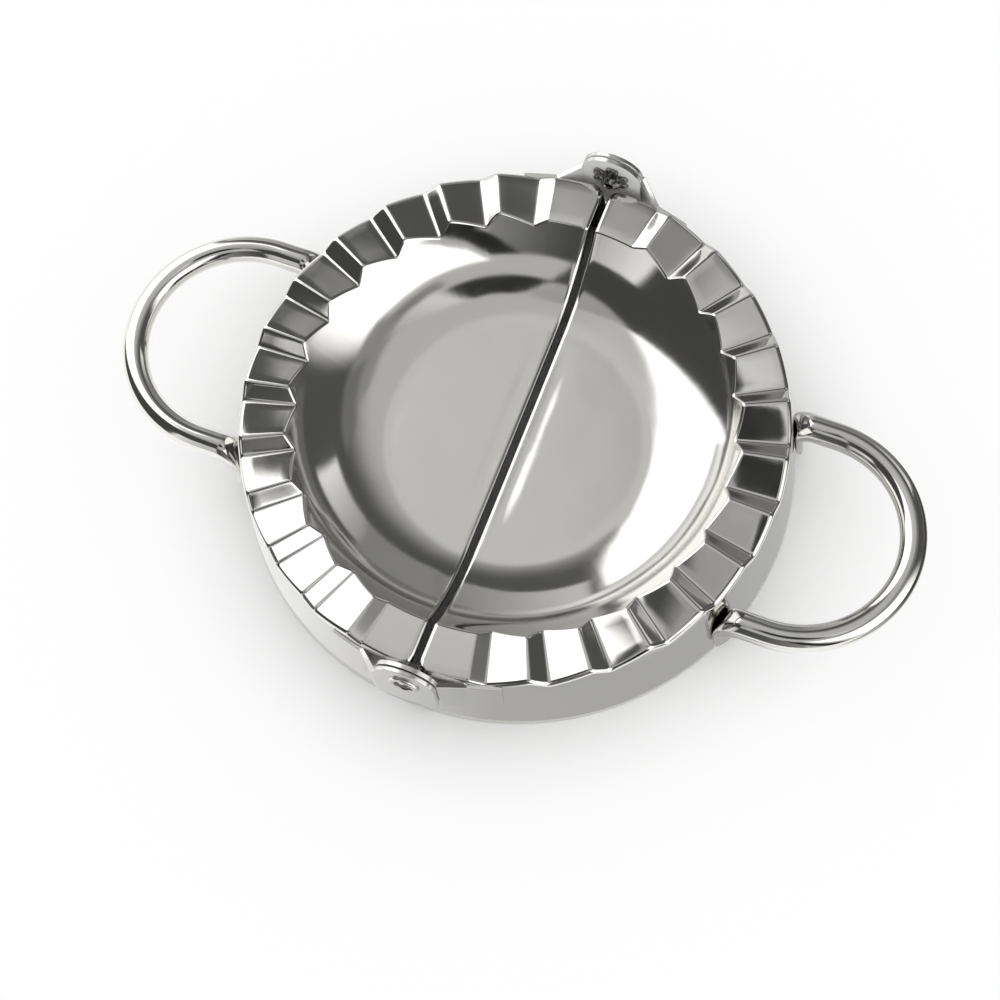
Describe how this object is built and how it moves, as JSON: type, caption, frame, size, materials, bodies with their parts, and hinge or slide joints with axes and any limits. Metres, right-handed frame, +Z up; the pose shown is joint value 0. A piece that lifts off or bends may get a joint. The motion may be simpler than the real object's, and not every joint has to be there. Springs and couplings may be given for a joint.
{
  "type": "empanada press",
  "caption": "Hinged sheet-metal press that cuts a round of dough, folds it over a filling in its bowl and crimps the edge shut between toothed half rims.",
  "frame": {"origin": "on the table, under the middle of the opened press", "axes": "+Z up; the hinge axis runs along Y; the handles point along X; the right half, which folds over, is on +X"},
  "size_m": [0.1498, 0.1034, 0.0264],
  "materials": {
    "mould_steel": "mirror-polished stainless sheet, stamped",
    "wire_steel": "mirror-polished stainless wire, bent",
    "lug_steel": "polished stainless sheet, stamped and spot welded",
    "rivet_steel": "plain steel rivet, end spread into petals"
  },
  "bodies": {
    "left_half": {"left_mould": "mould_steel", "left_handle": "wire_steel", "rear_left_lug": "lug_steel", "front_left_lug": "lug_steel", "rear_rivet": "rivet_steel", "front_rivet": "rivet_steel"},
    "right_half": {"right_mould": "mould_steel", "right_handle": "wire_steel", "rear_right_lug": "lug_steel", "front_right_lug": "lug_steel"}
  },
  "joints": [
    {"name": "fold", "type": "hinge", "parent": "left_half", "child": "right_half", "pos_m": [0, 0, 0.0208], "axis": [0, -1, 0], "range_deg": [0, 180]}
  ]
}
